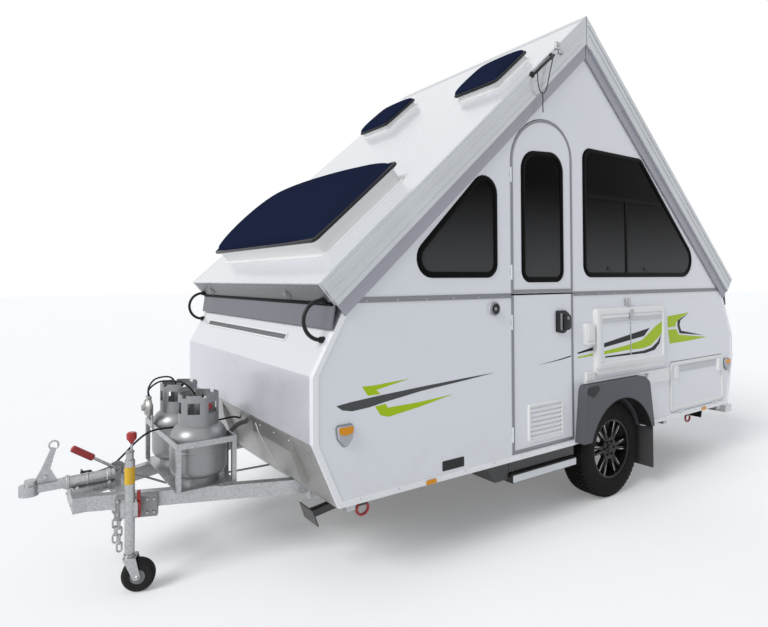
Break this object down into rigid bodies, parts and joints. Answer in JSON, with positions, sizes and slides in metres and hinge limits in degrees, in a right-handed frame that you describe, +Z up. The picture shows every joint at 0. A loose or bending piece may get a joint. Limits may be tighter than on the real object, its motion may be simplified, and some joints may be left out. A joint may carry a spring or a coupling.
{
  "type": "a-frame camper trailer",
  "caption": "Hard-walled folding A-frame camper trailer with sloped roof halves, folding gables, arched door, roof hatches, drawbar, jockey wheel and gas bottles.",
  "frame": {"origin": "centre of the bounding box on the ground", "axes": "+X towards the rear, +Y towards the right-hand side, +Z up"},
  "size_m": [5.275, 2.136, 3.3133],
  "materials": {
    "galvanised": "dull spangled zinc",
    "dark_steel": "satin black paint",
    "white_skin": "gloss white",
    "grey_trim": "satin anodised",
    "bare_metal": "mill finish",
    "grey_plastic": "moulded grain",
    "white_plastic": "smooth",
    "black_rubber": "matt",
    "tyre": "matt tread rubber",
    "alloy": "black with machined edges",
    "tinted_glass": "dark tint",
    "red_lever": "gloss red grip",
    "lamp": "clear moulding",
    "red_lamp": "clear moulding",
    "floor_board": "sealed ply"
  },
  "bodies": {
    "trailer": {"chassis_frame": "galvanised", "drawbar": "galvanised", "coupling": "galvanised", "handbrake_lever": "red_lever", "safety_chains": "galvanised", "jockey_clamp": "galvanised", "gas_bottles": "galvanised", "gas_tray": "galvanised", "floor_panel": "floor_board", "wall_left": "white_skin", "wall_right": "white_skin", "wall_front": "white_skin", "stone_guard": "bare_metal", "wall_rear": "white_skin", "body_trims": "white_plastic", "belt_rails": "grey_trim", "wheel_tubs": "grey_plastic", "wheel_flares": "grey_plastic", "mud_flaps": "black_rubber", "axle": "galvanised", "roof_front": "white_skin", "roof_rear": "white_skin", "roof_skirts": "grey_trim", "roof_seals": "grey_plastic", "ridge_cap": "grey_trim", "hatch_frames": "white_plastic", "front_vent": "grey_plastic", "hinge_flap": "grey_trim", "roof_conduits": "black_rubber", "side_lamps": "lamp", "tail_lamps": "red_lamp", "rear_bumper": "galvanised", "wall_fittings": "white_plastic"},
    "gable_left": {"gable_left": "white_skin", "gable_left_glass": "tinted_glass"},
    "gable_right": {"gable_right": "white_skin", "gable_right_glass": "tinted_glass"},
    "door_upper": {"door_upper": "white_skin", "door_upper_glass": "tinted_glass"},
    "door_lower": {"door_lower": "white_skin", "door_handle": "grey_plastic"},
    "side_table": {"side_table": "white_plastic"},
    "boot_lid": {"boot_lid": "white_skin"},
    "hatch_large": {"hatch_lid_large": "tinted_glass"},
    "hatch_left": {"hatch_lid_left": "tinted_glass"},
    "hatch_right": {"hatch_lid_right": "tinted_glass"},
    "wheel_left": {"tyre_left": "tyre", "rim_left": "alloy"},
    "wheel_right": {"tyre_right": "tyre", "rim_right": "alloy"},
    "jockey_tube": {"jockey_tube": "galvanised"},
    "jockey_inner": {"jockey_inner": "galvanised"},
    "jockey_fork": {"jockey_fork": "galvanised"},
    "jockey_wheel": {"jockey_wheel": "black_rubber"},
    "steady_front_left": {"steady_front_left": "dark_steel"},
    "steady_front_right": {"steady_front_right": "dark_steel"},
    "steady_rear_left": {"steady_rear_left": "dark_steel"},
    "steady_rear_right": {"steady_rear_right": "dark_steel"},
    "entry_step": {"entry_step": "dark_steel"}
  },
  "joints": [
    {"name": "gable_left_fold", "type": "hinge", "parent": "trailer", "child": "gable_left", "pos_m": [0, -0.97, 1.445], "axis": [-1, 0, 0], "range_deg": [0, 90]},
    {"name": "gable_right_fold", "type": "hinge", "parent": "trailer", "child": "gable_right", "pos_m": [0, 0.97, 1.39], "axis": [1, 0, 0], "range_deg": [0, 90]},
    {"name": "door_upper_hinge", "type": "hinge", "parent": "gable_left", "child": "door_upper", "pos_m": [-0.195, -1.006, 2], "axis": [0, 0, -1], "range_deg": [0, 100]},
    {"name": "door_lower_hinge", "type": "hinge", "parent": "trailer", "child": "door_lower", "pos_m": [-0.195, -1.006, 1], "axis": [0, 0, -1], "range_deg": [0, 100]},
    {"name": "table_hinge", "type": "hinge", "parent": "trailer", "child": "side_table", "pos_m": [1.0725, -1.0003, 0.884], "axis": [1, 0, 0], "range_deg": [0, 90]},
    {"name": "boot_hinge", "type": "hinge", "parent": "trailer", "child": "boot_lid", "pos_m": [1.9725, -1.006, 0.4925], "axis": [1, 0, 0], "range_deg": [0, 100]},
    {"name": "hatch_large_hinge", "type": "hinge", "parent": "trailer", "child": "hatch_large", "pos_m": [-0.86845, 0, 2.19648], "axis": [0, 1, 0], "range_deg": [0, 50]},
    {"name": "hatch_left_hinge", "type": "hinge", "parent": "trailer", "child": "hatch_left", "pos_m": [0.18922, -0.61, 3.0608], "axis": [0, 1, 0], "range_deg": [0, 50]},
    {"name": "hatch_right_hinge", "type": "hinge", "parent": "trailer", "child": "hatch_right", "pos_m": [0.18922, 0.61, 3.0608], "axis": [0, 1, 0], "range_deg": [0, 50]},
    {"name": "wheel_left_spin", "type": "hinge", "parent": "trailer", "child": "wheel_left", "pos_m": [0.8425, -0.94, 0.34], "axis": [0, 1, 0], "continuous": true},
    {"name": "wheel_right_spin", "type": "hinge", "parent": "trailer", "child": "wheel_right", "pos_m": [0.8425, 0.94, 0.34], "axis": [0, 1, 0], "continuous": true},
    {"name": "jockey_swing", "type": "hinge", "parent": "trailer", "child": "jockey_tube", "pos_m": [-2.18062, -0.29898, 0.405], "axis": [-0.375, -0.927, 0], "range_deg": [0, 90]},
    {"name": "jockey_screw", "type": "slide", "parent": "jockey_tube", "child": "jockey_inner", "axis": [0, 0, -1], "range_m": [0, 0.15]},
    {"name": "jockey_swivel", "type": "hinge", "parent": "jockey_inner", "child": "jockey_fork", "pos_m": [-2.18062, -0.29898, 0.18], "axis": [0, 0, 1], "continuous": true},
    {"name": "jockey_spin", "type": "hinge", "parent": "jockey_fork", "child": "jockey_wheel", "pos_m": [-2.14169, -0.31473, 0.08], "axis": [0.375, 0.927, 0], "continuous": true},
    {"name": "steady_front_left_swing", "type": "hinge", "parent": "trailer", "child": "steady_front_left", "pos_m": [-1.0575, -0.72, 0.384], "axis": [0, -1, 0], "range_deg": [0, 70]},
    {"name": "steady_front_right_swing", "type": "hinge", "parent": "trailer", "child": "steady_front_right", "pos_m": [-1.0575, 0.72, 0.384], "axis": [0, -1, 0], "range_deg": [0, 70]},
    {"name": "steady_rear_left_swing", "type": "hinge", "parent": "trailer", "child": "steady_rear_left", "pos_m": [2.1225, -0.72, 0.384], "axis": [0, 1, 0], "range_deg": [0, 70]},
    {"name": "steady_rear_right_swing", "type": "hinge", "parent": "trailer", "child": "steady_rear_right", "pos_m": [2.1225, 0.72, 0.384], "axis": [0, 1, 0], "range_deg": [0, 70]},
    {"name": "step_slide", "type": "slide", "parent": "trailer", "child": "entry_step", "axis": [0, -1, 0], "range_m": [0, 0.22]}
  ]
}
